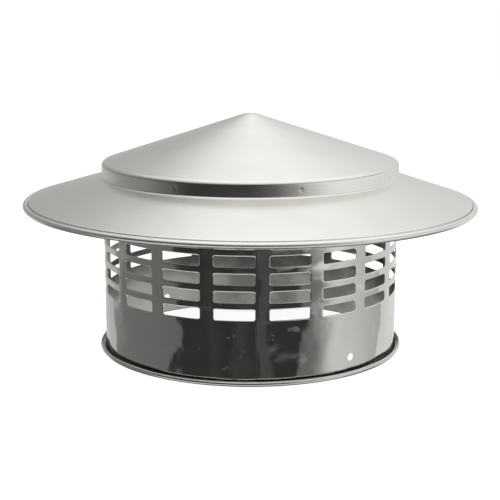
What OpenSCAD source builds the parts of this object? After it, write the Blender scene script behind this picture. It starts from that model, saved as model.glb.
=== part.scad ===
// Chimney cap for a round flue: a slotted sheet collar with a pressed rain hat spot welded over its top.
// The collar's foot stands on the ground plane and its axis is the Z axis.
// The front is the -Y side. Angles are counted from the front, positive towards +X.

/* [Sheet] */
// Thickness of the sheet that both pieces are made of
sheet_t = 0.6; // [0.4:0.1:0.8]

/* [Collar] */
// Inner diameter of the collar, which slips over a flue pipe
collar_bore_d = 200.6; // [150:0.1:250]
// Outer diameter of the rolled bead around the foot
foot_bead_d = 3.8; // [3:0.1:6]
// Width of the flat under the foot, between the wall's bend and its curl
foot_flat = 0.8; // [0.2:0.1:2]
// Room between the wall and the free edge of the foot's open curl
foot_curl_gap = 3; // [1.5:0.1:3.2]
// Height of the plain band from the foot to the lowest slots
plain_band_h = 41.8; // [30:0.1:80]
// Depth of the fine groove along the welded seam
seam_depth = 0.15; // [0.05:0.05:0.2]
// Width of the groove along the welded seam
seam_w = 0.4; // [0.2:0.1:0.8]
// Distance along the wall from the centre of its strip to the seam
seam_offset = 3.7; // [0:0.1:4]

/* [Slots] */
// Slots around the collar in each row
slot_columns = 18; // [8:1:22]
// Rows of slots above each other
slot_rows = 5; // [2:1:7]
// Height of a slot
slot_h = 6.9; // [4:0.1:10]
// Radius of a slot's corners
slot_corner_r = 1.2; // [0.5:0.1:1.9]
// Width of the upright strips between the columns of slots
strip_w = 9.1; // [8.4:0.1:12]
// Height of the bridges between the rows of slots
bridge_h = 4.4; // [3:0.1:8]
// Angle from the front to the centre of the strip that carries the seam
strip_angle = 4.3; // [-10:0.1:10]

/* [Fixing holes] */
// Diameter of the holes for the fixing screws
fixing_hole_d = 5.2; // [3:0.1:7]
// Height of the fixing holes above the foot
fixing_hole_z = 11.5; // [8:0.1:22]
// Fixing holes around the collar
fixing_holes = 2; // [1:1:4]
// Angle from the front to the first fixing hole
fixing_angle = 39.7; // [0:0.1:90]

/* [Hat] */
// Distance from the top of the highest slots up to the underside of the rim
rim_clearance = 4.3; // [2:0.1:20]
// Outer diameter of the rolled bead around the rim
rim_bead_d = 4.1; // [2.6:0.1:5]
// Room between the flange and the free edge of the rim's closed curl
rim_curl_gap = 0.25; // [0.15:0.05:0.4]
// Height of the short flange between the rim bead's centre and the brim
rim_flange_h = 2.6; // [2.4:0.1:6]
// Distance from the step wall out to the rim's outermost edge
brim_w = 53.2; // [30:0.1:80]
// Fall of the brim below the horizontal
brim_slope = 17.6; // [5:0.1:30]
// Height of the step between the brim and the cone
step_h = 10; // [8:0.1:25]
// Fall of the cone below the horizontal
cone_slope = 18.2; // [8:0.1:35]
// Radius of the cone's rounded tip
tip_r = 19; // [5:1:60]
// Outer radius of the shoulder between the cone and the step
shoulder_r = 3; // [1.5:0.1:5]
// Radius of the fillet between the step and the brim
root_r = 1.5; // [0.8:0.1:3]
// Outer radius of the bend where the brim turns down into its flange
edge_r = 1; // [0.8:0.1:1.5]

/* [Spot welds] */
// Gap between the collar and the step wall that it is welded to
lap_gap = 0.05; // [0.05:0.05:0.2]
// Spot welds around the step
weld_count = 8; // [4:1:16]
// Diameter of the dimple that a welding electrode leaves
weld_d = 4.4; // [3:0.1:6]
// Depth of a dimple
weld_depth = 0.15; // [0.05:0.05:0.2]
// Height of the welds above the root of the step
weld_h = 4.4; // [3.6:0.1:5]
// Angle from the front to the first weld
weld_angle = 18; // [0:0.1:45]

/* [Hidden] */
$fn = 144;

// Steps of the drawn arcs
bend_steps = 8;
curl_steps = 24;
corner_steps = 3;
// How far the collar's top edge stays below the hat's inner shoulder
top_gap = 0.3;
slack = 1;

// Radii of the walls
bore_r = collar_bore_d / 2;
collar_r = bore_r + sheet_t;
step_r = collar_r + lap_gap + sheet_t;
rim_r = step_r + brim_w;
flange_r = rim_r - rim_bead_d + sheet_t;

// Heights, from the foot upwards
row_pitch = slot_h + bridge_h;
slots_top_z = plain_band_h + slot_rows * row_pitch - bridge_h;
rim_z = slots_top_z + rim_clearance;
rim_bead_z = rim_z + rim_bead_d / 2;
edge_z = rim_bead_z + rim_flange_h;
root_z = edge_z + (flange_r - step_r) * tan(brim_slope);
shoulder_z = root_z + step_h;
apex_z = shoulder_z + step_r * tan(cone_slope);
shoulder_reach = shoulder_r * tan((90 - cone_slope) / 2);
collar_top_z = shoulder_z - shoulder_reach - top_gap;
weld_z = root_z + weld_h;

// Angles and widths around the collar
column_pitch = 360 / slot_columns;
slot_span = column_pitch - strip_w / collar_r * 180 / PI;
slot_w = 2 * collar_r * sin(slot_span / 2);
seam_angle = strip_angle - seam_offset / collar_r * 180 / PI;

function unit(v) = v / norm(v);
function reversed(list) = [for (i = [len(list) - 1:-1:0]) list[i]];

// Points of an arc about a centre, from one angle to another
function arc(centre, r, from, to, steps) =
    [for (i = [0:steps]) let (a = from + (to - from) * i / steps) centre + r * [cos(a), sin(a)]];

// Points of the arc that rounds the corner b between a and c
function bend(a, b, c, r) =
    let (
        u = unit(a - b),
        v = unit(c - b),
        half = acos(u * v) / 2,
        centre = b + unit(u + v) * r / sin(half),
        start = b + u * r / tan(half) - centre,
        turn = sign(cross(u, v)) * (2 * half - 180),
        from = atan2(start.y, start.x)
    )
    arc(centre, r, from, from + turn, bend_steps);

// Inner face of a curl that turns outwards and up, from one angle about its bead's centre onwards
function curl(wall_r, bead_z, bead_d, gap, from = 180, steps = curl_steps) =
    let (
        inner_r = bead_d / 2 - sheet_t,
        free_edge = 360 + acos((gap - inner_r) / (bead_d / 2))
    )
    arc([wall_r + inner_r, bead_z], inner_r, from, free_edge, steps);

// Closed outline of a sheet whose outer face follows a path, with its thickness to the path's right
function sheet_outline(path) =
    let (
        last = len(path) - 1,
        normals = [for (i = [0:last - 1]) let (d = unit(path[i + 1] - path[i])) [d.y, -d.x]],
        inside = [for (i = [0:last])
            let (n = normals[max(i - 1, 0)], m = normals[min(i, last - 1)])
            path[i] + sheet_t * (n + m) / (1 + n * m)]
    )
    concat(path, [for (p = reversed(inside)) [max(p.x, 0), p.y]]);

// Flat round dimples that the welding electrodes leave in a wall, on its outside or its inside
module weld_dimples(wall_r, side) {
    for (i = [0:weld_count - 1])
        rotate([0, 0, weld_angle + i * 360 / weld_count])
            translate([0, -wall_r, weld_z])
                rotate([90, 0, 0])
                    translate([0, 0, side * slack / 2 - side * weld_depth])
                        cylinder(h = slack, d = weld_d, center = true);
}

// The hat is one pressed sheet: cone, step, brim, flange and rolled rim
module hat() {
    apex = [0, apex_z];
    shoulder = [step_r, shoulder_z];
    root = [step_r, root_z];
    edge = [flange_r, edge_z];
    rim = [flange_r, rim_bead_z];
    tip_centre = apex - [0, tip_r / cos(cone_slope)];
    path = concat(
        arc(tip_centre, tip_r, 90, 90 - cone_slope, bend_steps),
        bend(apex, shoulder, root, shoulder_r),
        bend(shoulder, root, edge, root_r),
        bend(root, edge, rim, edge_r),
        curl(flange_r, rim_bead_z, rim_bead_d, rim_curl_gap)
    );
    color([0.78, 0.78, 0.76])
    difference() {
        rotate_extrude() polygon(sheet_outline(path));
        weld_dimples(step_r, 1);
    }
}

// Outline of one slot, drawn flat about its centre
module slot_outline() {
    x = slot_w / 2 - slot_corner_r;
    y = slot_h / 2 - slot_corner_r;
    polygon(concat(
        arc([x, y], slot_corner_r, 0, 90, corner_steps),
        arc([-x, y], slot_corner_r, 90, 180, corner_steps),
        arc([-x, -y], slot_corner_r, 180, 270, corner_steps),
        arc([x, -y], slot_corner_r, 270, 360, corner_steps)
    ));
}

// Punch that passes outwards through the wall at the front
module slot_punch() {
    translate([0, -collar_r / 2, 0])
        rotate([90, 0, 0])
            linear_extrude(height = collar_r / 2 + slack) slot_outline();
}

// Every slot of the collar, beside the strip that carries the seam
module slots() {
    for (column = [0:slot_columns - 1], row = [0:slot_rows - 1])
        rotate([0, 0, strip_angle + (column + 0.5) * column_pitch])
            translate([0, 0, plain_band_h + slot_h / 2 + row * row_pitch])
                slot_punch();
}

// Screw holes through the plain band
module fixing_drills() {
    for (i = [0:fixing_holes - 1])
        rotate([0, 0, fixing_angle + i * 360 / fixing_holes])
            translate([0, -bore_r / 2, fixing_hole_z])
                rotate([90, 0, 0])
                    cylinder(h = bore_r / 2 + sheet_t + slack, d = fixing_hole_d);
}

// Groove that marks the butt weld, up the outer face from the foot bead to the top edge
module seam_groove() {
    rotate([0, 0, seam_angle])
        translate([-seam_w / 2, -collar_r - seam_depth, foot_bead_d])
            cube([seam_w, 2 * seam_depth, collar_top_z]);
}

// The collar is one rolled sheet with a curled foot
module collar() {
    bead_z = foot_bead_d / 2;
    inner_r = bead_z - sheet_t;
    path = concat(
        [[collar_r, collar_top_z]],
        arc([collar_r + inner_r, bead_z], inner_r, 180, 270, bend_steps),
        curl(collar_r + foot_flat, bead_z, foot_bead_d, foot_curl_gap - foot_flat, 270, 2 * bend_steps)
    );
    color([0.6, 0.6, 0.59])
    difference() {
        rotate_extrude() polygon(sheet_outline(path));
        slots();
        fixing_drills();
        seam_groove();
        weld_dimples(bore_r, -1);
    }
}

hat();
collar();
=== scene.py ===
"""Chimney cap: a slotted, mirror-bright collar under a satin rain hat, on a pale floor.

Lengths are in metres. The collar's axis is the Z axis, and its foot stands on the ground plane.
The front is the -Y side. Angles around the axis are counted from it, positive towards +X.
"""

from __future__ import annotations

import logging
import math
from dataclasses import dataclass, field
from enum import Enum
from typing import Callable, Sequence

import bpy
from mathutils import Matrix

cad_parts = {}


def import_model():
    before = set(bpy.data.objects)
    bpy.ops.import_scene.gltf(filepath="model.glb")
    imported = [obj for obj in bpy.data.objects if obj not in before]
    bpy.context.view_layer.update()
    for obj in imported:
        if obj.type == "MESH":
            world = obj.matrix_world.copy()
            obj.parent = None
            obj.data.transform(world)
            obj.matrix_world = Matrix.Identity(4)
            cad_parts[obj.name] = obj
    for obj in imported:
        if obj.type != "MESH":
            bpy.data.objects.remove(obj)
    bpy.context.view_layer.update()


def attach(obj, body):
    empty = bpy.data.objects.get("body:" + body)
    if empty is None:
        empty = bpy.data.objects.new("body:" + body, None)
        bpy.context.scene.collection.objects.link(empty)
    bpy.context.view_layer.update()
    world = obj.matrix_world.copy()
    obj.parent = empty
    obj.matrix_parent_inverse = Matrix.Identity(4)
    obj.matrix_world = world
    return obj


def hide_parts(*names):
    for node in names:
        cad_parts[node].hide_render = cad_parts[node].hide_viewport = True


log = logging.getLogger("chimney_cap")

MM = 0.001
# Distance within which two places count as one
TOUCH = 0.001 * MM
# Least radius for patterns that divide by their distance from the axis
AXIS_ROOM = 0.1 * MM
# Share of a turn around the axis at which the front lies, counted from the back
FRONT_TURN = 0.5

# A point of a profile: radius and height, or any pair in one plane
Point = tuple[float, float]
Path = list[Point]
# Two bounds of a gradual change
Span = tuple[float, float]
Colour = tuple[float, float, float, float]
# Blender's own types by shorter names
Material = bpy.types.Material
Node = bpy.types.Node
Object = bpy.types.Object
Socket = bpy.types.NodeSocket
Tree = bpy.types.NodeTree


class Piece(Enum):
    """The visible pieces: the name of each, the CAD node it belongs to and its material slot."""

    HAT = ("rain_hat", "hat", "hat_steel")
    COLLAR = ("slotted_collar", "collar", "collar_steel")
    SEAM = ("seam_weld", "collar", "collar_steel")

    @property
    def title(self) -> str:
        """Name of the piece's object."""
        return self.value[0]

    @property
    def node(self) -> str:
        """Name of the CAD node that the piece belongs to."""
        return self.value[1]

    @property
    def slot(self) -> str:
        """Name of the record's material slot."""
        return self.value[2]


# Profiles and meshes


def arc(centre: Point, radius: float, start: float, end: float, steps: int) -> Path:
    """Points along an arc.

    Args:
        centre: Centre of the arc.
        radius: Radius of the arc.
        start: First angle in radians.
        end: Last angle in radians.
        steps: Number of chords.

    Returns:
        The points, both ends included.
    """
    turns = [start + (end - start) * i / steps for i in range(steps + 1)]
    return [(centre[0] + radius * math.cos(a), centre[1] + radius * math.sin(a)) for a in turns]


def bend(before: Point, corner: Point, after: Point, radius: float, steps: int) -> Path:
    """Points of the arc that rounds a corner between two straight runs.

    Args:
        before: A point on the run that leads to the corner.
        corner: The corner itself.
        after: A point on the run that leaves the corner.
        radius: Radius of the rounding.
        steps: Number of chords.

    Returns:
        The points of the arc, in the order of travel.
    """
    u = direction(corner, before)
    v = direction(corner, after)
    half = math.acos(u[0] * v[0] + u[1] * v[1]) / 2
    middle = direction((0, 0), (u[0] + v[0], u[1] + v[1]))
    reach = radius / math.sin(half)
    centre = (corner[0] + middle[0] * reach, corner[1] + middle[1] * reach)
    first = radius / math.tan(half)
    start = math.atan2(corner[1] + u[1] * first - centre[1], corner[0] + u[0] * first - centre[0])
    turn = math.copysign(math.pi - 2 * half, u[1] * v[0] - u[0] * v[1])
    return arc(centre, radius, start, start + turn, steps)


def direction(a: Point, b: Point) -> Point:
    """Unit vector from one point towards another."""
    length = math.dist(a, b)
    return ((b[0] - a[0]) / length, (b[1] - a[1]) / length)


def between(a: Point, b: Point, share: float) -> Point:
    """Point at a share of the way from one point to another."""
    return (a[0] + (b[0] - a[0]) * share, a[1] + (b[1] - a[1]) * share)


def filled(path: Path, spacing: Callable[[Point, Point], float]) -> Path:
    """Adds points along the straight runs of a path.

    Args:
        path: The path.
        spacing: Gives the longest chord allowed between two neighbouring points.

    Returns:
        The path with its long chords divided evenly.
    """
    points = [path[0]]
    for a, b in zip(path, path[1:]):
        count = max(1, math.ceil(math.dist(a, b) / spacing(a, b)))
        points += [between(a, b, i / count) for i in range(1, count + 1)]
    return points


def mesh_object(name: str, vertices: Sequence, faces: Sequence) -> Object:
    """Makes an object in the scene from vertices and faces.

    Args:
        name: Name of the object and of its mesh.
        vertices: Places of the vertices.
        faces: Vertex numbers of each face, turned outwards.

    Returns:
        The new object.
    """
    mesh = bpy.data.meshes.new(name)
    mesh.from_pydata(vertices, [], faces)
    mesh.shade_smooth()
    made = bpy.data.objects.new(name, mesh)
    bpy.context.scene.collection.objects.link(made)
    return made


def baked(source: Object, name: str) -> Object:
    """Replaces an object and its modifiers with one plain mesh.

    Args:
        source: The object with its modifiers. It is deleted.
        name: Name of the plain object.

    Returns:
        The plain object, at the origin.
    """
    depsgraph = bpy.context.evaluated_depsgraph_get()
    mesh = bpy.data.meshes.new_from_object(
        source.evaluated_get(depsgraph), preserve_all_data_layers=True, depsgraph=depsgraph
    )
    bpy.data.objects.remove(source)
    mesh.name = name
    made = bpy.data.objects.new(name, mesh)
    bpy.context.scene.collection.objects.link(made)
    return made


def smoothed(source: Object, sharp_angle: float = math.radians(60)) -> Object:
    """Shades a mesh smooth, with large flat runs true and hard corners kept.

    Args:
        source: The plain object. It is deleted.
        sharp_angle: Angle between faces from which an edge stays hard.

    Returns:
        The finished plain object, under the same name.
    """
    name = source.name
    source.data.shade_smooth()
    source.data.set_sharp_from_angle(angle=sharp_angle)
    weighted = source.modifiers.new("weighted", "WEIGHTED_NORMAL")
    weighted.mode = "FACE_AREA"
    weighted.keep_sharp = True
    source.name = name + "_source"
    return baked(source, name)


# Node trees


def grey(level: float) -> Colour:
    """Neutral colour of a given brightness."""
    return (level, level, level, 1)


class Graph:
    """Adds nodes to a shader or geometry tree and wires them up."""

    def __init__(self, tree: Tree) -> None:
        """Takes the tree to fill."""
        self.tree = tree

    def add(self, kind: str, feeds: dict | None = None, **settings: object) -> Node:
        """Adds one node.

        Args:
            kind: Blender's identifier of the node.
            feeds: A socket to link or a value to set, by the name or the number of the input.
            settings: Values of the node's own properties.

        Returns:
            The new node.
        """
        node = self.tree.nodes.new(kind)
        for key, value in settings.items():
            setattr(node, key, value)
        for key, value in (feeds or {}).items():
            socket = node.inputs[key]
            if isinstance(value, Socket):
                self.tree.links.new(value, socket)
            else:
                socket.default_value = value
        return node

    def math(self, operation: str, *operands: object) -> Socket:
        """Result of a Math node on sockets or numbers."""
        return self.add("ShaderNodeMath", dict(enumerate(operands)), operation=operation).outputs[0]

    def vector(self, operation: str, *operands: object) -> Socket:
        """Vector result of a Vector Math node on sockets or vectors."""
        feeds = dict(enumerate(operands))
        return self.add("ShaderNodeVectorMath", feeds, operation=operation).outputs[0]

    def split(self, vector: Socket) -> list[Socket]:
        """The X, Y and Z of a vector."""
        return list(self.add("ShaderNodeSeparateXYZ", {0: vector}).outputs)

    def join(self, x: object, y: object, z: object) -> Socket:
        """A vector from its X, Y and Z."""
        return self.add("ShaderNodeCombineXYZ", {0: x, 1: y, 2: z}).outputs[0]

    def axis_distance(self, vector: Socket) -> Socket:
        """Distance of a place from the Z axis."""
        flat = self.vector("MULTIPLY", vector, (1, 1, 0))
        return self.add("ShaderNodeVectorMath", {0: flat}, operation="LENGTH").outputs["Value"]

    def ramp(self, value: object, low: object, high: object) -> Socket:
        """Maps a value to 0 at one bound and to 1 at the other, with an easy start and end."""
        feeds = {"Value": value, "From Min": low, "From Max": high}
        return self.add("ShaderNodeMapRange", feeds, interpolation_type="SMOOTHSTEP").outputs["Result"]

    def noise(self, vector: object, scale: object, detail: float = 2.0) -> Socket:
        """Value of a Noise texture, around one half."""
        feeds = {"Vector": vector, "Scale": scale, "Detail": detail}
        return self.add("ShaderNodeTexNoise", feeds).outputs["Fac"]

    def mix(self, factor: object, a: object, b: object) -> Socket:
        """Mixes two colours by a factor."""
        feeds = {"Factor": factor, 6: a, 7: b}
        return self.add("ShaderNodeMix", feeds, data_type="RGBA").outputs[2]


class GeometryTree(Graph):
    """A Geometry Nodes tree with named inputs for its sizes."""

    def __init__(self, name: str, inputs: dict[str, object]) -> None:
        """Starts the tree.

        Args:
            name: Name of the tree.
            inputs: Value of each named input: a whole number, a length or angle, or a material.
        """
        super().__init__(bpy.data.node_groups.new(name, "GeometryNodeTree"))
        self.values = inputs
        face = self.tree.interface
        face.new_socket("Geometry", in_out="INPUT", socket_type="NodeSocketGeometry")
        self.sockets = {
            key: face.new_socket(key, in_out="INPUT", socket_type=self.socket_type(value))
            for key, value in inputs.items()
        }
        face.new_socket("Geometry", in_out="OUTPUT", socket_type="NodeSocketGeometry")
        self.given = self.add("NodeGroupInput").outputs

    @staticmethod
    def socket_type(value: object) -> str:
        """Kind of socket that holds a value.

        Args:
            value: A whole number, a length or angle, or a material.

        Returns:
            Blender's name of the kind.
        """
        if isinstance(value, Material):
            return "NodeSocketMaterial"
        return "NodeSocketInt" if isinstance(value, int) else "NodeSocketFloat"

    def geometry(self, kind: str, feeds: dict, **settings: object) -> Socket:
        """First output of a Geometry node."""
        return self.add("GeometryNode" + kind, feeds, **settings).outputs[0]

    def close(self, geometry: Socket) -> None:
        """Ends the tree: makes instances real and gives the result its material.

        Args:
            geometry: The finished geometry.
        """
        real = self.geometry("RealizeInstances", {"Geometry": geometry})
        dressed = self.geometry("SetMaterial", {"Geometry": real, "Material": self.given["Material"]})
        self.add("NodeGroupOutput", {"Geometry": dressed})

    def put_on(self, target: Object) -> None:
        """Adds the tree to an object as a modifier, with its values set by socket identifier.

        Args:
            target: The object.
        """
        modifier = target.modifiers.new(self.tree.name, "NODES")
        modifier.node_group = self.tree
        for key, value in self.values.items():
            modifier[self.sockets[key].identifier] = value


class ShaderGroup(Graph):
    """A shader node group that puts out masks or heights."""

    def __init__(self, name: str, inputs: dict[str, float], outputs: Sequence[str]) -> None:
        """Starts the group.

        Args:
            name: Name of the group.
            inputs: Named inputs and their default values.
            outputs: Names of the outputs, all plain values.
        """
        super().__init__(bpy.data.node_groups.new(name, "ShaderNodeTree"))
        face = self.tree.interface
        for key, value in inputs.items():
            face.new_socket(key, in_out="INPUT", socket_type="NodeSocketFloat").default_value = value
        for key in outputs:
            face.new_socket(key, in_out="OUTPUT", socket_type="NodeSocketFloat")
        self.given = self.add("NodeGroupInput").outputs
        self.place = self.add("ShaderNodeTexCoord").outputs["Object"]

    def safe_radius(self) -> Socket:
        """Distance from the axis, kept large enough to divide by."""
        return self.math("MAXIMUM", self.axis_distance(self.place), AXIS_ROOM)

    def wrapped(self, radius: Socket, pattern_radius: Socket, across: Socket) -> Socket:
        """Place for a pattern that repeats as often around the axis at any radius.

        Args:
            radius: Distance from the axis.
            pattern_radius: Radius that the pattern is wrapped on, which sets how often it repeats.
            across: Place in the pattern's other direction.

        Returns:
            The place's socket.
        """
        x, y, _ = self.split(self.place)
        around = self.math("DIVIDE", pattern_radius, radius)
        return self.join(self.math("MULTIPLY", x, around), self.math("MULTIPLY", y, around), across)

    def close(self, results: dict[str, Socket]) -> None:
        """Wires the results to the group's outputs."""
        self.add("NodeGroupOutput", results)


class Effects:
    """Shader groups that the finishes share, each built once."""

    def __init__(self) -> None:
        """Builds every group."""
        self.brushing = self.make_brushing()
        self.waviness = self.make_waviness()
        self.marks = self.make_marks()
        self.upright = self.make_upright()

    @staticmethod
    def make_brushing() -> Tree:
        """Fine lines that run around the axis, as a spinning lathe leaves them.

        Returns:
            The group.
        """
        group = ShaderGroup(
            "turned_brushing", {"Lines per metre": 2500.0, "Arcs around": 4.0}, ["Height", "Streaks"]
        )
        broad_stretch = (0.6, 0.6, 0.09)
        broad_share = 0.3
        _, _, z = group.split(group.place)
        radius = group.safe_radius()
        slant = group.math("SUBTRACT", radius, z)
        across = group.math("MULTIPLY", slant, group.given["Lines per metre"])
        place = group.wrapped(radius, group.given["Arcs around"], across)
        fine = group.noise(place, 1.0, detail=3.0)
        broad = group.noise(group.vector("MULTIPLY", place, broad_stretch), 1.0)
        fine_part = group.math("MULTIPLY", fine, 1 - broad_share)
        height = group.math("MULTIPLY_ADD", broad, broad_share, fine_part)
        group.close({"Height": height, "Streaks": broad})
        return group.tree

    @staticmethod
    def make_upright() -> Tree:
        """Faint streaks that run up a round wall, as rolling leaves them.

        Returns:
            The group.
        """
        group = ShaderGroup("upright_streaks", {"Streaks around": 60.0, "Rise": 14.0}, ["Height"])
        _, _, z = group.split(group.place)
        rise = group.math("MULTIPLY", z, group.given["Rise"])
        place = group.wrapped(group.safe_radius(), group.given["Streaks around"], rise)
        group.close({"Height": group.noise(place, 1.0)})
        return group.tree

    @staticmethod
    def make_waviness() -> Tree:
        """Slow unevenness of thin sheet, which makes straight reflections wander.

        Returns:
            The group.
        """
        group = ShaderGroup("sheet_waviness", {"Wave length": 30 * MM, "Seed": 0.0}, ["Height"])
        shift = group.join(group.given["Seed"], group.given["Seed"], 0.0)
        place = group.vector("ADD", group.place, shift)
        scale = group.math("DIVIDE", 1.0, group.given["Wave length"])
        group.close({"Height": group.noise(place, scale, detail=1.0)})
        return group.tree

    @staticmethod
    def make_marks() -> Tree:
        """Faint clouds and smudges of handling.

        Returns:
            The group.
        """
        group = ShaderGroup(
            "handling_marks", {"Size": 25 * MM, "Threshold": 0.5, "Softness": 0.2}, ["Mask"]
        )
        scale = group.math("DIVIDE", 1.0, group.given["Size"])
        cloud = group.noise(group.place, scale, detail=4.0)
        high = group.math("ADD", group.given["Threshold"], group.given["Softness"])
        group.close({"Mask": group.ramp(cloud, group.given["Threshold"], high)})
        return group.tree


class Finish(Graph):
    """A metal material under construction."""

    def __init__(self, name: str) -> None:
        """Starts a material with a Principled shader."""
        self.material = bpy.data.materials.new(name)
        self.material.use_nodes = True
        super().__init__(self.material.node_tree)
        self.tree.nodes.clear()
        self.shader = self.add("ShaderNodeBsdfPrincipled", {"Metallic": 1.0})
        self.add("ShaderNodeOutputMaterial", {"Surface": self.shader.outputs["BSDF"]})
        self.place = self.add("ShaderNodeTexCoord").outputs["Object"]

    def effect(self, group: Tree, values: dict[str, float]) -> Node:
        """Places a shared group with its own values.

        Args:
            group: The group.
            values: Value of each input that differs from its default.

        Returns:
            The group's node.
        """
        node = self.add("ShaderNodeGroup", node_tree=group)
        for key, value in values.items():
            node.inputs[key].default_value = value
        return node

    def bump(self, height: object, depth: float, normal: object | None = None) -> Socket:
        """Normal of a height map.

        Args:
            height: The height, from 0 to 1.
            depth: Metres that a height of 1 stands for.
            normal: Normal of the relief below, where there is one.

        Returns:
            The normal's socket.
        """
        feeds = {"Height": height, "Distance": depth, "Strength": 1.0}
        if normal is not None:
            feeds["Normal"] = normal
        return self.add("ShaderNodeBump", feeds).outputs["Normal"]

    def attribute(self, name: str) -> Socket:
        """Value of one of the piece's own attributes."""
        return self.add("ShaderNodeAttribute", attribute_name=name).outputs["Fac"]

    def close(self, colour: object, roughness: object, normal: object) -> Material:
        """Wires the three results to the shader.

        Args:
            colour: Socket of the base colour.
            roughness: Socket of the roughness.
            normal: Socket of the normal.

        Returns:
            The finished material.
        """
        for key, value in (("Base Color", colour), ("Roughness", roughness), ("Normal", normal)):
            self.tree.links.new(value, self.shader.inputs[key])
        return self.material


@dataclass(frozen=True)
class SatinSteel:
    """Satin finish of the hat, brushed around its axis, and brighter on the upright step."""

    step_radius: float
    colour: Colour = (0.80, 0.79, 0.755, 1)
    clouded: Colour = (0.77, 0.76, 0.725, 1)
    weld_tint: Colour = (0.42, 0.40, 0.37, 1)
    weld_tint_share: float = 0.25
    roughness: float = 0.23
    step_roughness: float = 0.17
    step_fade: Span = (0.4 * MM, 2.0 * MM)
    roughness_change: float = 0.06
    line_depth: float = 0.018 * MM
    wave_depth: float = 0.12 * MM
    wave_length: float = 55 * MM

    def material(self, effects: Effects) -> Material:
        """Builds the finish.

        Args:
            effects: The shared shader groups.

        Returns:
            The material.
        """
        finish = Finish(Piece.HAT.slot)
        brushing = finish.effect(effects.brushing, {"Lines per metre": 900.0, "Arcs around": 3.0})
        waves = finish.effect(effects.waviness, {"Wave length": self.wave_length, "Seed": 0.4})
        clouds = finish.effect(effects.marks, {"Size": 40 * MM, "Threshold": 0.42, "Softness": 0.25})
        weld = finish.attribute("weld_mark")
        colour = finish.mix(clouds.outputs["Mask"], self.colour, self.clouded)
        colour = finish.mix(finish.math("MULTIPLY", weld, self.weld_tint_share), colour, self.weld_tint)
        off_step = finish.math("SUBTRACT", finish.axis_distance(finish.place), self.step_radius)
        slope = finish.ramp(finish.math("ABSOLUTE", off_step), *self.step_fade)
        off_step_change = self.roughness - self.step_roughness
        base = finish.math("MULTIPLY_ADD", slope, off_step_change, self.step_roughness)
        roughness = finish.math("MULTIPLY_ADD", brushing.outputs["Streaks"], self.roughness_change, base)
        normal = finish.bump(brushing.outputs["Height"], self.line_depth)
        normal = finish.bump(waves.outputs["Height"], self.wave_depth, normal)
        return finish.close(colour, roughness, normal)


@dataclass(frozen=True)
class MirrorSteel:
    """Mirror-bright finish of the collar, rougher inside and on the punched edges. Painted shade darkens
    the inner wall and the foot's channel, painted light brightens the inner wall's left side, and the
    punched edges carry a painted glint.
    """

    wall_radius: float
    half_wall: float = 0.3 * MM
    colour: Colour = (0.64, 0.635, 0.605, 1)
    # Painted shade: the inner wall is coloured far darker than the steel, for the shade inside the tube;
    # its clouds are random tone
    inside: Colour = (0.155, 0.15, 0.142, 1)
    inside_clouded: Colour = (0.29, 0.28, 0.262, 1)
    # Painted light on the inner wall's left side
    inside_lit: Colour = (0.56, 0.54, 0.505, 1)
    # Painted glint: the punched edges are coloured brighter than the wall
    edge: Colour = (0.88, 0.87, 0.84, 1)
    # Painted shade inside the foot's curl, which is dark from its narrow gap
    recess_shade: Colour = (0.22, 0.215, 0.20, 1)
    roughness: float = 0.06
    inside_roughness: float = 0.26
    edge_roughness: float = 0.16
    smudge_roughness: float = 0.14
    wave_depth: float = 2.0 * MM
    wave_length: float = 34 * MM
    ripple_depth: float = 0.20 * MM
    ripple_length: float = 10 * MM
    streak_depth: float = 0.008 * MM
    # Painted shade on the inner wall: darker higher up and towards the middle
    shaded_span: Span = (22 * MM, 36 * MM)
    shaded_share: float = 0.35
    middle_span: Span = (80 * MM, 45 * MM)
    # Where the painted light on the inner wall's left side starts and ends, and how strong it is
    lit_span: Span = (-35 * MM, -70 * MM)
    lit_share: float = 0.5

    def material(self, effects: Effects) -> Material:
        """Builds the finish.

        Args:
            effects: The shared shader groups.

        Returns:
            The material.
        """
        finish = Finish(Piece.COLLAR.slot)
        radius = finish.axis_distance(finish.place)
        inner = finish.math("LESS_THAN", radius, self.wall_radius - self.half_wall)
        cut = finish.attribute("cut_edge")
        streaks = finish.effect(effects.upright, {"Streaks around": 70.0, "Rise": 12.0})
        waves = finish.effect(effects.waviness, {"Wave length": self.wave_length, "Seed": 1.3})
        ripples = finish.effect(effects.waviness, {"Wave length": self.ripple_length, "Seed": 5.2})
        smudges = finish.effect(effects.marks, {"Size": 14 * MM, "Threshold": 0.61, "Softness": 0.03})
        clouds = finish.effect(effects.marks, {"Size": 38 * MM, "Threshold": 0.38, "Softness": 0.26})
        # Painted shade inside the tube, broken up by random clouds
        inside = finish.mix(clouds.outputs["Mask"], self.inside, self.inside_clouded)
        across, _, height = finish.split(finish.place)
        # Painted light: the inner wall is lighter towards its left side
        lit = finish.math("MULTIPLY", finish.ramp(across, *self.lit_span), self.lit_share)
        inside = finish.mix(lit, inside, self.inside_lit)
        # Painted shade: the inner wall darkens higher up, most in the middle
        middle = finish.ramp(finish.math("ABSOLUTE", across), *self.middle_span)
        shaded = finish.math("MULTIPLY", finish.ramp(height, *self.shaded_span), middle)
        inside = finish.mix(finish.math("MULTIPLY", shaded, self.shaded_share), inside, grey(0))
        colour = finish.mix(inner, self.colour, inside)
        # Painted glint along the punched edges
        colour = finish.mix(cut, colour, self.edge)
        # Painted shade darkens the inside of the foot's curl
        colour = finish.mix(finish.attribute("recess_shade"), colour, self.recess_shade)
        smudged = finish.math("MULTIPLY", smudges.outputs["Mask"], self.smudge_roughness)
        roughness = finish.math("ADD", smudged, self.roughness)
        for mask, value in ((inner, self.inside_roughness), (cut, self.edge_roughness)):
            roughness = finish.math("MAXIMUM", roughness, finish.math("MULTIPLY", mask, value))
        normal = finish.bump(streaks.outputs["Height"], self.streak_depth)
        normal = finish.bump(ripples.outputs["Height"], self.ripple_depth, normal)
        normal = finish.bump(waves.outputs["Height"], self.wave_depth, normal)
        return finish.close(colour, roughness, normal)


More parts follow.
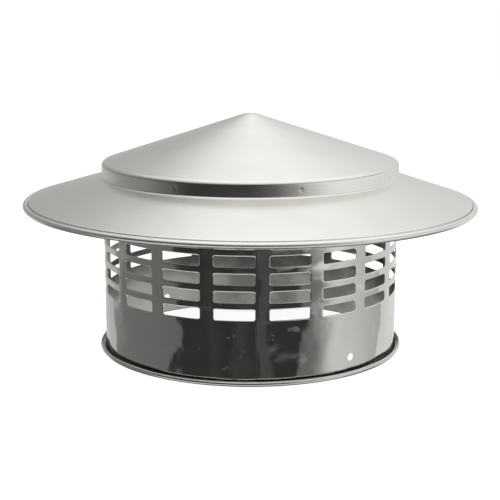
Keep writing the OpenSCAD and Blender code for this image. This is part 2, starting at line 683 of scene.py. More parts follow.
@dataclass(frozen=True)
class WeldSteel:
    """Ground and faintly heat-tinted metal of the collar's seam weld."""

    colour: Colour = (0.20, 0.19, 0.18, 1)
    tinted: Colour = (0.11, 0.10, 0.09, 1)
    roughness: float = 0.3
    roughness_change: float = 0.15
    grain_depth: float = 0.005 * MM

    def material(self, effects: Effects) -> Material:
        """Builds the finish.

        Args:
            effects: The shared shader groups.

        Returns:
            The material.
        """
        finish = Finish("seam_steel")
        marks = finish.effect(effects.marks, {"Size": 4 * MM, "Threshold": 0.4, "Softness": 0.3})
        grain = finish.effect(effects.waviness, {"Wave length": 0.3 * MM, "Seed": 0.7})
        colour = finish.mix(marks.outputs["Mask"], self.colour, self.tinted)
        roughness = finish.math(
            "MULTIPLY_ADD", marks.outputs["Mask"], self.roughness_change, self.roughness
        )
        return finish.close(colour, roughness, finish.bump(grain.outputs["Height"], self.grain_depth))


# The cap's own pieces


@dataclass(frozen=True)
class SheetSteel:
    """The sheet that both pieces are made of, and how its edges are rolled."""

    thickness: float = 0.6 * MM

    def curl(
        self, wall_r: float, bead_z: float, bead_d: float, gap: float, steps: int, start: float = math.pi
    ) -> Path:
        """Inner face of a curl that starts down a wall's outer face and turns outwards and up.

        Args:
            wall_r: Radius of the wall's outer face.
            bead_z: Height of the bead's centre.
            bead_d: Outer diameter of the bead.
            gap: Room left between the wall and the free edge.
            steps: Number of chords.
            start: Angle about the bead's centre at which the points start.

        Returns:
            The points of the curl, from the start to the free edge.
        """
        inner_r = bead_d / 2 - self.thickness
        free_edge = 2 * math.pi + math.acos((gap - inner_r) / (bead_d / 2))
        return arc((wall_r + inner_r, bead_z), inner_r, start, free_edge, steps)

    def inner_face(self, path: Path) -> Path:
        """The sheet's other face, a thickness to the right of a path.

        Args:
            path: The outer face, in the order of travel.

        Returns:
            One point for each point of the path. None crosses the axis.
        """
        runs = [direction(a, b) for a, b in zip(path, path[1:])]
        normals = [(run[1], -run[0]) for run in runs]
        face = []
        for i, (x, y) in enumerate(path):
            n = normals[max(i - 1, 0)]
            m = normals[min(i, len(normals) - 1)]
            k = self.thickness / (1 + n[0] * m[0] + n[1] * m[1])
            face.append((max(x + k * (n[0] + m[0]), 0.0), y + k * (n[1] + m[1])))
        return face


@dataclass(frozen=True)
class CapSizes:
    """Sizes that the hat and the collar share, and the heights that follow from them."""

    sheet: SheetSteel = field(default_factory=SheetSteel)
    bore_d: float = 200.6 * MM
    plain_band_h: float = 41.8 * MM
    slot_columns: int = 18
    slot_rows: int = 5
    slot_h: float = 6.9 * MM
    slot_corner_r: float = 1.2 * MM
    strip_w: float = 9.1 * MM
    bridge_h: float = 4.4 * MM
    strip_angle: float = math.radians(4.3)
    foot_bead_d: float = 3.8 * MM
    foot_flat: float = 0.8 * MM
    foot_curl_gap: float = 3.0 * MM
    rim_clearance: float = 4.3 * MM
    rim_bead_d: float = 4.1 * MM
    rim_curl_gap: float = 0.25 * MM
    rim_flange_h: float = 2.6 * MM
    brim_w: float = 53.2 * MM
    brim_slope: float = math.radians(17.6)
    step_h: float = 10 * MM
    cone_slope: float = math.radians(18.2)
    shoulder_r: float = 3 * MM
    lap_gap: float = 0.05 * MM
    top_gap: float = 0.3 * MM
    weld_count: int = 8
    weld_d: float = 4.4 * MM
    weld_depth: float = 0.06 * MM
    weld_h: float = 4.4 * MM
    weld_angle: float = math.radians(18)

    @property
    def collar_r(self) -> float:
        """Outer radius of the collar's wall."""
        return self.bore_d / 2 + self.sheet.thickness

    @property
    def step_r(self) -> float:
        """Outer radius of the hat's step wall."""
        return self.collar_r + self.lap_gap + self.sheet.thickness

    @property
    def flange_r(self) -> float:
        """Outer radius of the flange around the brim."""
        return self.step_r + self.brim_w - self.rim_bead_d + self.sheet.thickness

    @property
    def row_pitch(self) -> float:
        """Height from one row of slots to the next."""
        return self.slot_h + self.bridge_h

    @property
    def slots_top_z(self) -> float:
        """Height of the highest slots' upper edge."""
        return self.plain_band_h + self.slot_rows * self.row_pitch - self.bridge_h

    @property
    def rim_bead_z(self) -> float:
        """Height of the rim bead's centre."""
        return self.slots_top_z + self.rim_clearance + self.rim_bead_d / 2

    @property
    def edge_z(self) -> float:
        """Height of the corner between brim and flange."""
        return self.rim_bead_z + self.rim_flange_h

    @property
    def root_z(self) -> float:
        """Height of the corner between step wall and brim."""
        return self.edge_z + (self.flange_r - self.step_r) * math.tan(self.brim_slope)

    @property
    def shoulder_z(self) -> float:
        """Height of the corner between cone and step wall."""
        return self.root_z + self.step_h

    @property
    def apex_z(self) -> float:
        """Height at which the cone would end in a point."""
        return self.shoulder_z + self.step_r * math.tan(self.cone_slope)

    @property
    def collar_top_z(self) -> float:
        """Height of the collar's top edge, inside the hat's shoulder."""
        reach = self.shoulder_r * math.tan((math.pi / 2 - self.cone_slope) / 2)
        return self.shoulder_z - reach - self.top_gap

    @property
    def weld_z(self) -> float:
        """Height of the spot welds."""
        return self.root_z + self.weld_h


@dataclass
class RainHat:
    """The pressed sheet on top: cone, step, sloping brim, flange and rolled rim.

    The brim sags a little towards +X and rises as much towards -X.
    """

    sizes: CapSizes
    tip_r: float = 19 * MM
    root_r: float = 1.5 * MM
    edge_r: float = 1 * MM
    brim_sag: float = 1.1 * MM
    bend_steps: int = 9
    tip_steps: int = 12
    curl_steps: int = 28
    chord: float = 12 * MM
    fine_chord: float = 0.32 * MM
    stations_between: int = 28
    stations_at_weld: int = 18
    weld_reach: float = 0.75
    dish_flat: float = 0.35
    dish_edge: float = 0.80

    def profile(self) -> Path:
        """Outer face of the sheet.

        Returns:
            The points, from the tip to the free edge of the rim.
        """
        s = self.sizes
        apex = (0.0, s.apex_z)
        shoulder = (s.step_r, s.shoulder_z)
        root = (s.step_r, s.root_z)
        edge = (s.flange_r, s.edge_z)
        rim = (s.flange_r, s.rim_bead_z)
        tip_centre = (0.0, s.apex_z - self.tip_r / math.cos(s.cone_slope))
        upright = math.pi / 2
        corners = (
            arc(tip_centre, self.tip_r, upright, upright - s.cone_slope, self.tip_steps)
            + bend(apex, shoulder, root, s.shoulder_r, self.bend_steps)
            + bend(shoulder, root, edge, self.root_r, self.bend_steps)
            + bend(root, edge, rim, self.edge_r, self.bend_steps)
            + s.sheet.curl(s.flange_r, s.rim_bead_z, s.rim_bead_d, s.rim_curl_gap, self.curl_steps)
        )
        return filled(corners, self.longest_chord)

    def longest_chord(self, a: Point, b: Point) -> float:
        """Fine chords along the step wall, where the weld marks are, and longer ones elsewhere."""
        on_wall = max(abs(a[0] - self.sizes.step_r), abs(b[0] - self.sizes.step_r)) < TOUCH
        return self.fine_chord if on_wall else self.chord

    def stations(self) -> list[float]:
        """Angles of the mesh's upright lines, close together at each weld mark.

        Returns:
            The angles, once around the axis.
        """
        s = self.sizes
        pitch = 2 * math.pi / s.weld_count
        half = self.weld_reach * s.weld_d / s.step_r
        near = [-half + 2 * half * i / self.stations_at_weld for i in range(self.stations_at_weld)]
        gap = pitch - 2 * half
        far = [half + gap * i / self.stations_between for i in range(self.stations_between)]
        return [s.weld_angle + i * pitch + a for i in range(s.weld_count) for a in near + far]

    def shell(self) -> Object:
        """Spins the sheet's closed outline around the axis.

        Returns:
            The sheet as one closed mesh, without its weld marks.
        """
        outer = self.profile()
        outline = outer + self.sizes.sheet.inner_face(outer)[::-1]
        angles = self.stations()
        vertices = []
        rings = []
        for radius, z in outline:
            sag = self.brim_sag * max(radius - self.sizes.step_r, 0.0) / self.sizes.brim_w
            places = [
                (radius * math.sin(a), -radius * math.cos(a), z - sag * math.sin(a)) for a in angles
            ]
            if radius < TOUCH:
                places = places[:1]
            rings.append([len(vertices) + k for k in range(len(places))] * (len(angles) // len(places)))
            vertices += places
        faces = []
        for upper, lower in zip(rings, rings[1:]):
            for k in range(len(angles)):
                n = (k + 1) % len(angles)
                corners = (upper[k], lower[k], lower[n], upper[n])
                faces.append(tuple(dict.fromkeys(corners)))
        return mesh_object("hat_shell", vertices, faces)

    def weld_marks(self, material: Material) -> GeometryTree:
        """Tree that dents the step wall at each spot weld and marks the place.

        Args:
            material: The hat's material.

        Returns:
            The tree, ready to put on the shell.
        """
        s = self.sizes
        tree = GeometryTree(
            "spot_weld_marks",
            {
                "Count": s.weld_count,
                "First Angle": s.weld_angle,
                "Height": s.weld_z,
                "Wall Radius": s.step_r,
                "Mark Radius": s.weld_d / 2,
                "Flat Share": self.dish_flat,
                "Edge Share": self.dish_edge,
                "Depth": s.weld_depth,
                "Material": material,
            },
        )
        given = tree.given
        place = tree.geometry("InputPosition", {})
        ring = tree.geometry("MeshCircle", {"Vertices": given["Count"], "Radius": given["Wall Radius"]})
        turn = tree.join(0.0, 0.0, tree.math("SUBTRACT", given["First Angle"], math.pi / 2))
        lift = tree.join(0.0, 0.0, given["Height"])
        spots = tree.geometry("Transform", {"Geometry": ring, "Translation": lift, "Rotation": turn})
        feeds = {0: spots, "Sample Position": place}
        near = tree.add("GeometryNodeProximity", feeds, target_element="POINTS")
        share = tree.math("DIVIDE", near.outputs["Distance"], given["Mark Radius"])
        dish = tree.math("SUBTRACT", 1.0, tree.ramp(share, given["Flat Share"], given["Edge Share"]))
        radius = tree.axis_distance(place)
        face = tree.math("SUBTRACT", given["Wall Radius"], given["Depth"])
        outside = tree.math("GREATER_THAN", radius, face)
        sunk = tree.math("DIVIDE", tree.math("MULTIPLY", dish, given["Depth"]), radius)
        inwards = tree.vector("MULTIPLY", place, tree.join(-1.0, -1.0, 0.0))
        feeds = {0: inwards, "Scale": sunk}
        offset = tree.add("ShaderNodeVectorMath", feeds, operation="SCALE").outputs[0]
        dented = tree.geometry(
            "SetPosition", {"Geometry": given["Geometry"], "Selection": outside, "Offset": offset}
        )
        feeds = {"Geometry": dented, "Selection": outside, "Name": "weld_mark", "Value": dish}
        marked = tree.geometry("StoreNamedAttribute", feeds, data_type="FLOAT", domain="POINT")
        tree.close(marked)
        return tree

    def build(self, material: Material) -> Object:
        """Makes the finished hat.

        Args:
            material: The hat's material.

        Returns:
            The hat as one closed mesh.
        """
        shell = self.shell()
        self.weld_marks(material).put_on(shell)
        return smoothed(baked(shell, Piece.HAT.title))


@dataclass
class SlottedCollar:
    """The rolled sheet below: slots, plain band with screw holes, and curled foot."""

    sizes: CapSizes
    rollover_w: float = 0.7 * MM
    rollover_d: float = 0.25 * MM
    rollover_steps: int = 4
    burr: float = 0.08 * MM
    burr_share: float = 0.3
    corner_steps: int = 6
    straight_steps: int = 12
    side_steps: int = 2
    ring_share: float = 0.3
    foot_bend_steps: int = 11
    foot_curl_steps: int = 20
    chord: float = 12 * MM
    top_round: float = 0.1 * MM
    screw_holes: int = 2
    screw_hole_d: float = 5.2 * MM
    screw_hole_z: float = 11.5 * MM
    screw_angle: float = math.radians(39.7)
    hole_chamfer: float = 0.12 * MM
    hole_sides: int = 48

    @property
    def column_pitch(self) -> float:
        """Distance along the outer face from one column of slots to the next."""
        return 2 * math.pi * self.sizes.collar_r / self.sizes.slot_columns

    @property
    def corner_centre(self) -> Point:
        """Centre of a slot's upper right corner, from the centre of the slot."""
        s = self.sizes
        return ((self.column_pitch - s.strip_w) / 2 - s.slot_corner_r, s.slot_h / 2 - s.slot_corner_r)

    def slot_contour(self, grow: float) -> Path:
        """Outline of a slot about its centre, seen from outside, counter-clockwise.

        Args:
            grow: How far outside the real edge the outline runs.

        Returns:
            The points, from the lower end of the right side onwards.
        """
        x, y = self.corner_centre
        radius = self.sizes.slot_corner_r + grow
        quarter = math.pi / 2
        corners = [
            arc(centre, radius, i * quarter, (i + 1) * quarter, self.corner_steps)
            for i, centre in enumerate(((x, y), (-x, y), (-x, -y), (x, -y)))
        ]
        points = []
        for i, corner in enumerate(corners):
            steps = self.side_steps if i % 2 else self.straight_steps
            following = corners[(i + 1) % len(corners)]
            points += corner + [between(corner[-1], following[0], k / steps) for k in range(1, steps)]
        return points

    def cell_border(self) -> Path:
        """Edge of a slot's cell.

        Returns:
            One point for each point of the slot's outline, in the same order.
        """
        x, y = self.corner_centre
        wide = self.column_pitch / 2
        high = self.sizes.row_pitch / 2
        half = self.corner_steps // 2
        quarter = [between((wide, y), (wide, high), k / half) for k in range(half)]
        quarter += [between((wide, high), (x, high), k / half) for k in range(half + 1)]
        shares = [k / self.straight_steps for k in range(1, self.straight_steps)]
        top = [between((x, high), (-x, high), share) for share in shares]
        shares = [k / self.side_steps for k in range(1, self.side_steps)]
        side = [between((-wide, y), (-wide, -y), share) for share in shares]
        left = [(-px, py) for px, py in quarter[::-1]]
        upper = quarter + top + left + side
        return upper + [(-px, -py) for px, py in upper]

    def stations(self) -> list[float]:
        """Places across a cell of the border's points, from left to right."""
        high = self.sizes.row_pitch / 2
        return sorted({round(x, 9) for x, y in self.cell_border() if y > high - TOUCH})

    def slot_cell(self) -> tuple[list, list, list]:
        """One slot with the sheet around it, laid flat: X along the wall, Y into it.

        Returns:
            The vertices, the faces and how much each vertex belongs to the punched edge.
        """
        t = self.sizes.sheet.thickness
        border = self.cell_border()
        lip = self.slot_contour(self.rollover_w)
        ring = [between(a, b, self.ring_share) for a, b in zip(lip, border)]
        loops = [(border, 0.0, 0.0), (ring, 0.0, 0.0)]
        for k in range(self.rollover_steps + 1):
            a = math.pi / 2 * k / self.rollover_steps
            grow = self.rollover_w * (1 - math.sin(a))
            loops.append((self.slot_contour(grow), self.rollover_d * (1 - math.cos(a)), math.sin(a)))
        loops += [
            (self.slot_contour(0.0), t - self.burr, 1.0),
            (self.slot_contour(self.burr), t, self.burr_share),
            (ring, t, 0.0),
            (border, t, 0.0),
        ]
        vertices = [(x, depth, z) for points, depth, _ in loops for x, z in points]
        cut = [share for points, _, share in loops for _ in points]
        count = len(border)
        faces = []
        for j in range(len(loops) - 1):
            for k in range(count):
                n = (k + 1) % count
                faces.append((j * count + k, j * count + n, (j + 1) * count + n, (j + 1) * count + k))
        return vertices, faces, cut

    def foot(self) -> Path:
        """Upper face of the foot: the wall's bend and, past a narrow flat, the open curl.

        Returns:
            The points, from the wall to the free edge.
        """
        s = self.sizes
        bead_z = s.foot_bead_d / 2
        bend_r = bead_z - s.sheet.thickness
        lowest = 3 * math.pi / 2
        wall_bend = arc((s.collar_r + bend_r, bead_z), bend_r, math.pi, lowest, self.foot_bend_steps)
        curl_wall_r = s.collar_r + s.foot_flat
        gap = s.foot_curl_gap - s.foot_flat
        return wall_bend + s.sheet.curl(
            curl_wall_r, bead_z, s.foot_bead_d, gap, self.foot_curl_steps, lowest
        )

    def band_paths(self) -> list[tuple[Path, list[float]]]:
        """Sections of the sheet below and above the slots.

        Returns:
            Each section as depth and height, with the share of painted shade that each point takes in
            the foot's channel.
        """
        s = self.sizes
        low = s.plain_band_h - s.bridge_h / 2
        high = s.slots_top_z + s.bridge_h / 2
        foot = self.foot()
        channel_top = (s.collar_r, s.foot_bead_d)
        outer = filled([(s.collar_r, low), channel_top], lambda a, b: self.chord) + foot
        below = outer + s.sheet.inner_face(outer)[::-1]
        first = len(outer) - len(foot)
        # Points inside the foot's curl take painted shade
        channel_shade = [float(first <= i < len(outer) - 1) for i in range(len(below))]
        r = self.top_round
        inner_r = s.bore_d / 2
        top = [
            (inner_r, high),
            (inner_r, s.collar_top_z - r),
            (inner_r + r, s.collar_top_z),
            (s.collar_r - r, s.collar_top_z),
            (s.collar_r, s.collar_top_z - r),
            (s.collar_r, high),
        ]
        above = filled(top, lambda a, b: self.chord)
        sections = ((below, channel_shade), (above, [0.0] * len(above)))
        return [([(s.collar_r - radius, z) for radius, z in path], shares) for path, shares in sections]

    def flat_pattern(self) -> Object:
        """The repeating pieces laid flat: one slot's cell about the origin, and one column's bands.

        Returns:
            Both as one mesh. Its attributes tell them apart, mark the punched edge, and mark the foot's
            channel, where shade is painted.
        """
        vertices, faces, cut = self.slot_cell()
        slotted = [True] * len(faces)
        stations = self.stations()
        count = len(stations)
        recess_shade = [0.0] * len(vertices)
        for path, shares in self.band_paths():
            first = len(vertices)
            vertices += [(x, depth, z) for depth, z in path for x in stations]
            recess_shade += [share for share in shares for _ in stations]
            for j in range(len(path) - 1):
                for k in range(count - 1):
                    a = first + j * count + k
                    faces.append((a, a + count, a + count + 1, a + 1))
        slotted += [False] * (len(faces) - len(slotted))
        cut += [0.0] * (len(vertices) - len(cut))
        flat = mesh_object("collar_pattern", vertices, faces)
        for name, kind, domain, values in (
            ("slotted", "BOOLEAN", "FACE", slotted),
            ("cut_edge", "FLOAT", "POINT", cut),
            ("recess_shade", "FLOAT", "POINT", recess_shade),
        ):
            flat.data.attributes.new(name, kind, domain).data.foreach_set("value", values)
        return flat

    def rolled_pattern(self, material: Material) -> GeometryTree:
        """Tree that repeats the slots in rows and columns and rolls the sheet into a tube.

        Args:
            material: The collar's material.

        Returns:
            The tree, ready to put on the flat pattern.
        """
        s = self.sizes
        tree = GeometryTree(
            "rolled_slots",
            {
                "Columns": s.slot_columns,
                "Rows": s.slot_rows,
                "Column Pitch": self.column_pitch,
                "Row Pitch": s.row_pitch,
                "First Row Height": s.plain_band_h + s.slot_h / 2,
                "First Angle": s.strip_angle + math.pi / s.slot_columns,
                "Wall Radius": s.collar_r,
                "Weld Distance": 0.002 * MM,
                "Material": material,
            },
        )
        given = tree.given
        slotted = tree.geometry("InputNamedAttribute", {"Name": "slotted"}, data_type="BOOLEAN")
        parts = tree.add(
            "GeometryNodeSeparateGeometry",
            {"Geometry": given["Geometry"], "Selection": slotted},
            domain="FACE",
        ).outputs
        across = tree.join(given["Column Pitch"], 0.0, 0.0)
        columns = tree.geometry("MeshLine", {"Count": given["Columns"], "Offset": across})
        start = tree.join(0.0, 0.0, given["First Row Height"])
        upwards = tree.join(0.0, 0.0, given["Row Pitch"])
        rows = tree.geometry(
            "MeshLine", {"Count": given["Rows"], "Start Location": start, "Offset": upwards}
        )
        grid = tree.geometry("InstanceOnPoints", {"Points": columns, "Instance": rows})
        grid = tree.geometry("RealizeInstances", {"Geometry": grid})
        slots = tree.geometry("InstanceOnPoints", {"Points": grid, "Instance": parts["Selection"]})
        bands = tree.geometry("InstanceOnPoints", {"Points": columns, "Instance": parts["Inverted"]})
        joined = tree.add("GeometryNodeJoinGeometry", {"Geometry": slots})
        tree.tree.links.new(bands, joined.inputs["Geometry"])
        flat = tree.geometry("RealizeInstances", {"Geometry": joined.outputs[0]})
        x, y, z = tree.split(tree.geometry("InputPosition", {}))
        angle = tree.math("ADD", tree.math("DIVIDE", x, given["Wall Radius"]), given["First Angle"])
        radius = tree.math("SUBTRACT", given["Wall Radius"], y)
        side = tree.math("MULTIPLY", radius, tree.math("SINE", angle))
        front = tree.math("MULTIPLY", radius, tree.math("COSINE", angle))
        rolled = tree.join(side, tree.math("MULTIPLY", front, -1.0), z)
        tube = tree.geometry("SetPosition", {"Geometry": flat, "Position": rolled})
        welded = tree.geometry("MergeByDistance", {"Geometry": tube, "Distance": given["Weld Distance"]})
        tree.close(welded)
        return tree

    def screw_drills(self) -> Object:
        """Drills for the screw holes, each with a small flare where it breaks through the wall.

        Returns:
            All drills as one mesh.
        """
        s = self.sizes
        r = self.screw_hole_d / 2
        c = self.hole_chamfer
        t = s.sheet.thickness
        section = [(r + 2 * c, -c), (r, c), (r, t - c), (r + 2 * c, t + c)]
        sides = self.hole_sides
        vertices = []
        faces = []
        for i in range(self.screw_holes):
            turn = self.screw_angle + 2 * math.pi * i / self.screw_holes
            first = len(vertices)
            for radius, depth in section:
                for k in range(sides):
                    a = 2 * math.pi * k / sides
                    side = radius * math.cos(a)
                    out = s.collar_r - depth
                    vertices.append((
                        side * math.cos(turn) + out * math.sin(turn),
                        side * math.sin(turn) - out * math.cos(turn),
                        self.screw_hole_z + radius * math.sin(a),
                    ))
            for j in range(len(section) - 1):
                for k in range(sides):
                    n = (k + 1) % sides
                    a = first + j * sides
                    faces.append((a + k, a + sides + k, a + sides + n, a + n))
            faces.append(tuple(first + k for k in range(sides)))
            last = first + (len(section) - 1) * sides
            faces.append(tuple(last + k for k in reversed(range(sides))))
        return mesh_object("screw_drills", vertices, faces)

    def build(self, material: Material) -> Object:
        """Makes the finished collar.

        Args:
            material: The collar's material.

        Returns:
            The collar as one closed mesh.
        """
        flat = self.flat_pattern()
        self.rolled_pattern(material).put_on(flat)
        tube = baked(flat, "collar_tube")
        drills = self.screw_drills()
        cut = tube.modifiers.new("screw_holes", "BOOLEAN")
        cut.object = drills
        cut.operation = "DIFFERENCE"
        cut.solver = "EXACT"
        drilled = baked(tube, Piece.COLLAR.title)
        bpy.data.objects.remove(drills)
        return smoothed(drilled)


@dataclass
class SeamWeld:
    """The butt weld that closes the collar: a low bead with fine ripples."""

    sizes: CapSizes
    offset: float = 3.7 * MM
    width: float = 0.5 * MM
    proud: float = 0.05 * MM
    ripple: float = 0.45 * MM
    swell: float = 0.14
    rings_per_ripple: int = 4
    section_sides: int = 12
    foot_room: float = 0.4 * MM
    top_room: float = 2 * MM

    def ripple_tree(self, material: Material) -> GeometryTree:
        """Tree that lays the rippled bead along the wall.

        Args:
            material: The bead's material.

        Returns:
            The tree, ready to put on an empty mesh.
        """
        s = self.sizes
        bottom = s.foot_bead_d + self.foot_room
        top = s.collar_top_z - self.top_room
        tree = GeometryTree(
            "rippled_bead",
            {
                "Bottom": bottom,
                "Top": top,
                "Wall Radius": s.collar_r,
                "Angle": s.strip_angle - self.offset / s.collar_r,
                "Width": self.width,
                "Flatness": 2 * self.proud / self.width,
                "Ripple Length": self.ripple,
                "Swell": self.swell,
                "Rings": round(self.rings_per_ripple * (top - bottom) / self.ripple),
                "Sides": self.section_sides,
                "Material": material,
            },
        )
        given = tree.given
        ends = {"Start": tree.join(0.0, 0.0, given["Bottom"]), "End": tree.join(0.0, 0.0, given["Top"])}
        line = tree.geometry("CurvePrimitiveLine", ends)
        line = tree.geometry("ResampleCurve", {"Curve": line, "Count": given["Rings"]})
        _, _, z = tree.split(tree.geometry("InputPosition", {}))
        phase = tree.math("DIVIDE", tree.math("MULTIPLY", z, 2 * math.pi), given["Ripple Length"])
        least = tree.math("SUBTRACT", 1.0, given["Swell"])
        width = tree.math("MULTIPLY_ADD", tree.math("SINE", phase), given["Swell"], least)
        line = tree.geometry("SetCurveRadius", {"Curve": line, "Radius": width})
        half = tree.math("MULTIPLY", given["Width"], 0.5)
        section = tree.geometry("CurvePrimitiveCircle", {"Resolution": given["Sides"], "Radius": half})
        bead = tree.geometry("CurveToMesh", {"Curve": line, "Profile Curve": section, "Fill Caps": True})
        flat = tree.join(1.0, given["Flatness"], 1.0)
        back = tree.join(0.0, tree.math("MULTIPLY", given["Wall Radius"], -1.0), 0.0)
        bead = tree.geometry("Transform", {"Geometry": bead, "Scale": flat, "Translation": back})
        turn = tree.join(0.0, 0.0, given["Angle"])
        bead = tree.geometry("Transform", {"Geometry": bead, "Rotation": turn})
        tree.close(bead)
        return tree

    def build(self, material: Material) -> Object:
        """Makes the finished bead.

        Args:
            material: The bead's material.

        Returns:
            The bead as one closed mesh.
        """
        source = mesh_object("seam_line", [], [])
        self.ripple_tree(material).put_on(source)
        return smoothed(baked(source, Piece.SEAM.title))


# The studio


@dataclass(frozen=True)
class LightRing:
    """Brightness of the studio around one height, by the angle from the front in degrees."""

    elevation: float
    stops: tuple[tuple[float, float], ...]


@dataclass(frozen=True)
class Studio:
    """A light tent around the cap, open towards the camera, over a pale floor."""

    rings: tuple[LightRing, ...] = (
        LightRing(-13, (
            (-180, 0.60), (-129, 0.58), (-127, 0.30), (-120, 0.22), (-58, 0.18), (-56, 0.042),
            (-35, 0.042), (-32, 0.055), (-16, 0.038), (-10, 0.065), (0, 0.045), (4, 0.045),
            (6, 0.09), (15, 0.085), (18, 0.042), (39, 0.042), (42, 0.17), (48, 0.23), (56, 0.44),
            (64, 0.75), (72, 0.83), (95, 0.71), (117, 0.55), (120, 0.86), (180, 0.84),
        )),
        LightRing(-8, (
            (-180, 0.66), (-160, 0.56), (-135, 0.44), (-110, 0.32), (-85, 0.28), (-62, 0.09),
            (-45, 0.02), (0, 0.035), (12, 0.10), (20, 0.18), (32, 0.42), (45, 0.82), (58, 1.0),
            (80, 1.0), (110, 0.92), (150, 0.74), (180, 0.66),
        )),
        LightRing(8, (
            (-180, 0.66), (-168, 0.46), (-120, 0.22), (-85, 0.15), (-60, 0.04), (12, 0.04), (25, 0.15),
            (45, 0.60), (60, 0.92), (130, 0.84), (165, 0.70), (180, 0.66),
        )),
        LightRing(18, (
            (-180, 0.68), (-168, 0.46), (-115, 0.28), (-78, 0.17), (-55, 0.16), (13, 0.22), (35, 0.40),
            (60, 0.42), (110, 0.42), (130, 0.80), (165, 0.75), (180, 0.73),
        )),
        LightRing(28, (
            (-180, 0.70), (-165, 0.46), (-110, 0.36), (-70, 0.20), (-50, 0.30), (15, 0.40), (45, 0.60),
            (60, 0.98), (150, 0.90), (165, 0.82), (180, 0.80),
        )),
        LightRing(37, (
            (-180, 0.92), (-165, 0.60), (-110, 0.46), (-50, 0.6), (0, 0.8), (45, 0.85), (90, 0.98),
            (165, 0.98), (180, 1.0),
        )),
        LightRing(46, (
            (-180, 1.22), (-160, 1.04), (-90, 0.60), (-50, 0.80), (0, 1.0), (45, 1.0), (90, 1.10),
            (165, 1.15), (180, 1.22),
        )),
        LightRing(75, ((-180, 1.2), (180, 1.2))),
    )
    floor_shade: Colour = grey(0.08)
    floor_light: LightRing = LightRing(-30, (
        (-180, 0.15), (-105, 0.15), (-75, 0.80), (75, 0.85), (105, 0.25), (180, 0.15),
    ))
    shade_span: Span = (-75, -50)
    light_span: Span = (-30, -20)
    floor_radius: float = 3.0
    floor_sides: int = 96
    floor_drop: float = 0.1 * MM
    floor_colour: Colour = grey(0.4)
    floor_roughness: float = 0.9
    floor_glow: float = 0.90

    def ring_brightness(self, graph: Graph, turn: Socket, ring: LightRing) -> Socket:
        """Brightness of one ring as a colour ramp over the turn around the axis.

        Args:
            graph: The world's nodes.
            turn: The turn, from 0 to 1.
            ring: The ring.

        Returns:
            The ramp's colour.
        """
        node = graph.add("ShaderNodeValToRGB", {0: turn})
        points = node.color_ramp.elements
        while len(points) < len(ring.stops):
            points.new(0.5)
        for point, (angle, level) in zip(points, ring.stops):
            point.position = FRONT_TURN + angle / 360
            point.color = grey(level)
        return node.outputs["Color"]

    def build_world(self) -> None:
        """Lights the scene from all round, and shows plain white to the camera."""
        world = bpy.data.worlds.new("studio")
        world.use_nodes = True
        bpy.context.scene.world = world
        graph = Graph(world.node_tree)
        graph.tree.nodes.clear()
        ray = graph.vector("NORMALIZE", graph.add("ShaderNodeTexCoord").outputs["Generated"])
        x, y, z = graph.split(ray)
        azimuth = graph.math("ARCTAN2", x, graph.math("MULTIPLY", y, -1.0))
        turn = graph.math("MULTIPLY_ADD", azimuth, 1 / math.tau, FRONT_TURN)
        elevation = graph.math("DEGREES", graph.math("ARCSINE", z))
        floor = self.ring_brightness(graph, turn, self.floor_light)
        light = graph.mix(graph.ramp(elevation, *self.shade_span), self.floor_shade, floor)
        around = self.ring_brightness(graph, turn, self.rings[0])
        light = graph.mix(graph.ramp(elevation, *self.light_span), light, around)
        for lower, upper in zip(self.rings, self.rings[1:]):
            rise = graph.ramp(elevation, lower.elevation, upper.elevation)
            light = graph.mix(rise, light, self.ring_brightness(graph, turn, upper))
        seen = graph.add("ShaderNodeLightPath").outputs["Is Camera Ray"]
        shown = graph.mix(seen, light, grey(1))
        background = graph.add("ShaderNodeBackground", {"Color": shown, "Strength": 1.0})
        graph.add("ShaderNodeOutputWorld", {"Surface": background.outputs[0]})

    def floor_material(self) -> Material:
        """Pale matt surface that stays light in the cap's shadow, and is clear when seen from below.

        Returns:
            The material.
        """
        material = bpy.data.materials.new("pale_floor")
        material.use_nodes = True
        graph = Graph(material.node_tree)
        graph.tree.nodes.clear()
        feeds = {
            "Base Color": self.floor_colour,
            "Roughness": self.floor_roughness,
            "Emission Color": grey(1),
            "Emission Strength": self.floor_glow,
        }
        matt = graph.add("ShaderNodeBsdfPrincipled", feeds).outputs["BSDF"]
        clear = graph.add("ShaderNodeBsdfTransparent").outputs["BSDF"]
        below = graph.add("ShaderNodeNewGeometry").outputs["Backfacing"]
        shown = graph.add("ShaderNodeMixShader", {0: below, 1: matt, 2: clear}).outputs[0]
        graph.add("ShaderNodeOutputMaterial", {"Surface": shown})
        return material

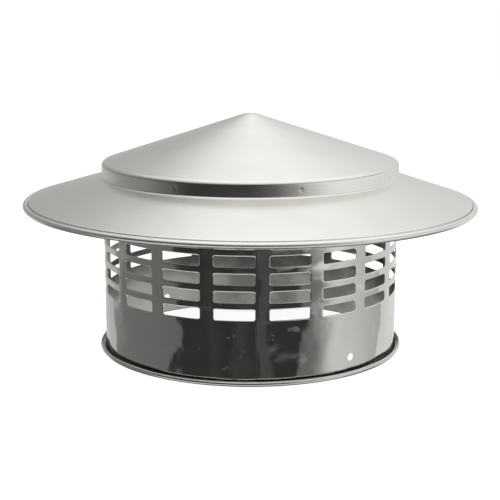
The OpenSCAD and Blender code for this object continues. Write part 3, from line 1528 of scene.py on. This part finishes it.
    def build_floor(self, inner_r: float) -> list[Object]:
        """Lays the pale floor, whose part inside the collar lights the collar's inner wall.

        Args:
            inner_r: Radius of the part inside the collar.

        Returns:
            The floor around the cap and the floor inside it.
        """
        sides = self.floor_sides
        turns = [2 * math.pi * k / sides for k in range(sides)]
        places = [
            (r * math.cos(a), r * math.sin(a), -self.floor_drop)
            for r in (inner_r, self.floor_radius)
            for a in turns
        ]
        ring = [(k, sides + k, sides + (k + 1) % sides, (k + 1) % sides) for k in range(sides)]
        around = mesh_object("floor", places, ring)
        around.visible_glossy = False
        inside = mesh_object("floor_inside", places[:sides], [tuple(range(sides))])
        material = self.floor_material()
        for part in (around, inside):
            part.data.materials.append(material)
        return [around, inside]

    def build(self, inner_r: float) -> list[Object]:
        """Sets up the light, the floor and plain colours.

        Args:
            inner_r: Radius of the floor inside the collar.

        Returns:
            The parts of the floor.
        """
        self.build_world()
        bpy.context.scene.view_settings.view_transform = "Standard"
        return self.build_floor(inner_r)


@dataclass(frozen=True)
class Viewpoint:
    """The camera of the photograph: level from side to side and a little above the cap."""

    distance: float = 830.5 * MM
    aim_z: float = 64.9 * MM
    elevation: float = math.radians(12.03)
    lens: float = 85.75
    sensor: float = 36.0
    shift: Point = (-0.0007, 0.0014)

    def build(self) -> Object:
        """Places the camera and makes it the scene's own.

        Returns:
            The camera.
        """
        data = bpy.data.cameras.new("camera")
        data.lens = self.lens
        data.sensor_width = self.sensor
        data.shift_x, data.shift_y = self.shift
        camera = bpy.data.objects.new("camera", data)
        away = self.distance * math.cos(self.elevation)
        camera.location = (0.0, -away, self.aim_z + self.distance * math.sin(self.elevation))
        camera.rotation_euler = (math.pi / 2 - self.elevation, 0.0, 0.0)
        bpy.context.scene.collection.objects.link(camera)
        bpy.context.scene.camera = camera
        return camera


def report(made: Object) -> None:
    """Says how large a finished piece is."""
    made.data.calc_loop_triangles()
    log.info("%s: %d triangles", made.name, len(made.data.loop_triangles))


def main() -> None:
    """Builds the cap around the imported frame, then the studio and the camera."""
    logging.basicConfig(level=logging.INFO, format="%(name)s: %(message)s")
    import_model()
    sizes = CapSizes()
    effects = Effects()

    hat = RainHat(sizes).build(SatinSteel(sizes.step_r).material(effects))
    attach(hat, "root")
    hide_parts(Piece.HAT.node)
    report(hat)

    collar = SlottedCollar(sizes).build(MirrorSteel(sizes.collar_r).material(effects))
    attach(collar, "root")
    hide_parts(Piece.COLLAR.node)
    report(collar)

    seam = SeamWeld(sizes).build(WeldSteel().material(effects))
    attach(seam, "root")
    report(seam)

    for part in Studio().build(sizes.bore_d / 2):
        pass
    Viewpoint().build()


if __name__ == "__main__":
    main()
